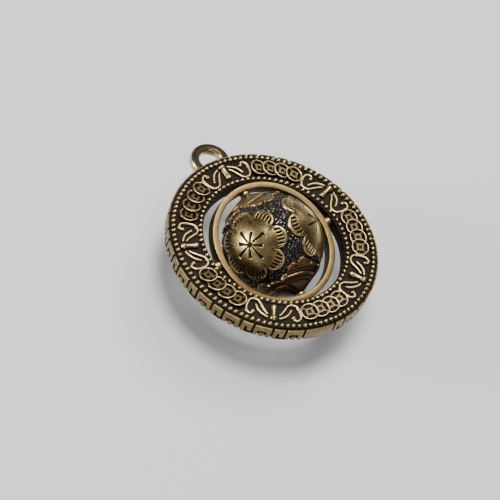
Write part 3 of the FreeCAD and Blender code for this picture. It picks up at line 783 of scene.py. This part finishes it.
# relief, rubbing and warmth of colour over the whole ball; the grains are the grey part
def reliefAt(points):
    rise = np.zeros(len(points))
    rubbedAndHighlight = np.zeros(len(points))
    inside = np.full(len(points), -90.0)
    for flower in flowers:
        height, within, shine = flowerRelief(points, *flower)
        nearer = (within > inside) & (within > 0)
        rise = np.where(nearer, height, rise)
        rubbedAndHighlight = np.where(nearer, shine, rubbedAndHighlight)
        inside = np.maximum(inside, within)
    leaf, shine = leafRelief(points, inside)
    rise, rubbedAndHighlight = np.maximum(rise, leaf), np.maximum(rubbedAndHighlight, shine)
    free = (inside < 0) & (leaf < 0.03)
    grain, shine = grainRelief(points, free)
    warm = np.where(leaf > 0.03, 1.0, 0.0)
    return np.where(free, grain, rise), np.where(free, shine, rubbedAndHighlight), np.where(free, -1.0, warm)


# both shells in relief; each stands for its half of the flowers and a wreath
def makeBall(material):
    bm = bmesh.new()
    bmesh.ops.create_icosphere(bm, subdivisions=ball["subdivisions"], radius=1)
    mesh = bpy.data.meshes.new("ball")
    bm.to_mesh(mesh)
    bm.free()
    flat = np.empty(len(mesh.vertices) * 3, dtype=np.float32)
    mesh.vertices.foreach_get("co", flat)
    points = flat.reshape(-1, 3).astype(float)
    points /= np.linalg.norm(points, axis=1)[:, None]
    rise, rubbedAndHighlight, warm = reliefAt(points)
    points *= (ball["ground"] + rise)[:, None]
    mesh.vertices.foreach_set("co", points.astype(np.float32).ravel())
    for name, values in (("rubbedAndHighlight", rubbedAndHighlight), ("warm", warm)):
        mesh.attributes.new(name, "FLOAT", "POINT").data.foreach_set("value", values.astype(np.float32))
    halves = {"front": (0, ["ball_shell_front", "flower_1", "flower_2", "leaves_upper"]),
              "back": (180, ["ball_shell_back", "flower_3", "flower_4", "leaves_lower"])}
    for name, (turn, nodes) in halves.items():
        half = bmesh.new()
        half.from_mesh(mesh)
        seam = Vector((1, 0, 0))
        seam.rotate(Euler((0, 0, math.radians(ball["seamTurn"] + 90 + turn))))
        bmesh.ops.bisect_plane(half, geom=half.verts[:] + half.edges[:] + half.faces[:], clear_inner=True,
                               plane_co=(0, 0, 0), plane_no=seam)
        bmesh.ops.holes_fill(half, edges=[edge for edge in half.edges if edge.is_boundary], sides=0)
        newPiece(half, f"ball_{name}", "ball", material, nodes, toBall, 80)
    bpy.data.meshes.remove(mesh)
    print("ball made")


stage = {"size": 1.4, "colour": (0.63, 0.64, 0.66), "depth": 9.9}
camera = {"target": (-3.556, -19.475, -1.392), "distance": 365.98, "azimuth": 54.27, "elevation": 50.13,
          "roll": 24.74, "lens": 144.0}
# name, direction from the object, distance, size, power, colour
lamps = [
    ("ceiling", (0.02, 0.15, 0.98), 0.70, 0.30, 6.0, (1.0, 0.99, 0.97)),
    ("window", (0.58, 0.30, 0.76), 0.75, 0.38, 3.2, (1.0, 0.985, 0.96)),
    ("leftWindow", (-0.86, 0.47, 0.20), 0.70, 0.26, 6.6, (0.99, 0.99, 1.0)),
    ("front", (-0.35, -0.90, 0.55), 0.90, 0.36, 0.9, (1.0, 0.99, 0.97)),
]
room = {"colour": (0.82, 0.85, 0.90), "strength": 0.22}


def makeStage():
    shader = Shader("paleFloor")
    place = shader.place((0, 0, 0))
    fine = shader.noise(place, 0.9, 3.0, 0.6)
    darker = [part * 0.97 for part in stage["colour"]]
    material = shader.finish(shader.mix(fine, darker, stage["colour"]), 0.62, 0.0, fine, 0.05, 0.05)
    bm = bmesh.new()
    bmesh.ops.create_grid(bm, x_segments=1, y_segments=1, size=stage["size"])
    bmesh.ops.translate(bm, vec=(ringCentre.x, ringCentre.y, -stage["depth"] * mm), verts=bm.verts)
    mesh = bpy.data.meshes.new("floor")
    bm.to_mesh(mesh)
    bm.free()
    mesh.materials.append(material)
    floor = bpy.data.objects.new("floor", mesh)
    scene.collection.objects.link(floor)
    print("floor made")


def makeLights():
    for name, direction, distance, size, power, colour in lamps:
        light = bpy.data.lights.new(name, "AREA")
        light.shape = "DISK"
        light.size = size
        light.energy = power
        light.color = colour
        lamp = bpy.data.objects.new(name, light)
        away = Vector(direction).normalized()
        lamp.location = ringCentre + away * distance
        lamp.rotation_euler = away.to_track_quat("Z", "Y").to_euler()
        scene.collection.objects.link(lamp)
    world = bpy.data.worlds.new("room")
    scene.world = world
    world.use_nodes = True
    background = world.node_tree.nodes["Background"]
    background.inputs["Color"].default_value = (*room["colour"], 1)
    background.inputs["Strength"].default_value = room["strength"]
    print("lights made")


def makeCamera():
    lens = bpy.data.cameras.new("camera")
    lens.lens = camera["lens"]
    lens.sensor_width = 36.0
    lens.clip_start = 0.01
    view = bpy.data.objects.new("camera", lens)
    scene.collection.objects.link(view)
    azimuth, elevation = math.radians(camera["azimuth"]), math.radians(camera["elevation"])
    ahead = Vector((math.cos(elevation) * math.sin(azimuth), math.cos(elevation) * math.cos(azimuth),
                    -math.sin(elevation)))
    target = Vector(camera["target"]) * mm
    view.location = target - ahead * camera["distance"] * mm
    facing = ahead.to_track_quat("-Z", "Y")
    roll = Matrix.Rotation(math.radians(camera["roll"]), 3, "Z")
    view.rotation_euler = (facing.to_matrix() @ roll).to_euler()
    scene.camera = view
    print("camera made")


makeCamera()
makeStage()
makeLights()

ringFinish = antiqueFinish("ringCast", stain=0.5)
reliefFinish = antiqueFinish("ringRelief", stain=0.8, gloss=0.09, warmth=0.35, shine=0.82)
rimFinish = antiqueFinish("rimKey", stain=1.0, gloss=0.06, warmth=0.45, shine=0.88)
bailFinish = antiqueFinish("bailCast", stain=1.2, gloss=0.14, warmth=0.25, shine=0.78, silver=0.15)
pinFinish = antiqueFinish("pinTurned", stain=0.8, gloss=0.04, warmth=0.4, shine=0.80)
ballFinish = antiqueFinish("ballBrass", stain=0.6, gloss=0.09, warmth=0.4, shine=0.80)

makeOuterRing(ringFinish)
makeKeyBand(rimFinish)
makeBail(bailFinish)
makeBeads(reliefFinish)
makeBars(reliefFinish)
makeScrolls(reliefFinish)
makeCoins(reliefFinish)
makeInnerRing(makeBrushed())
makeFittings(pinFinish)
makeBall(ballFinish)
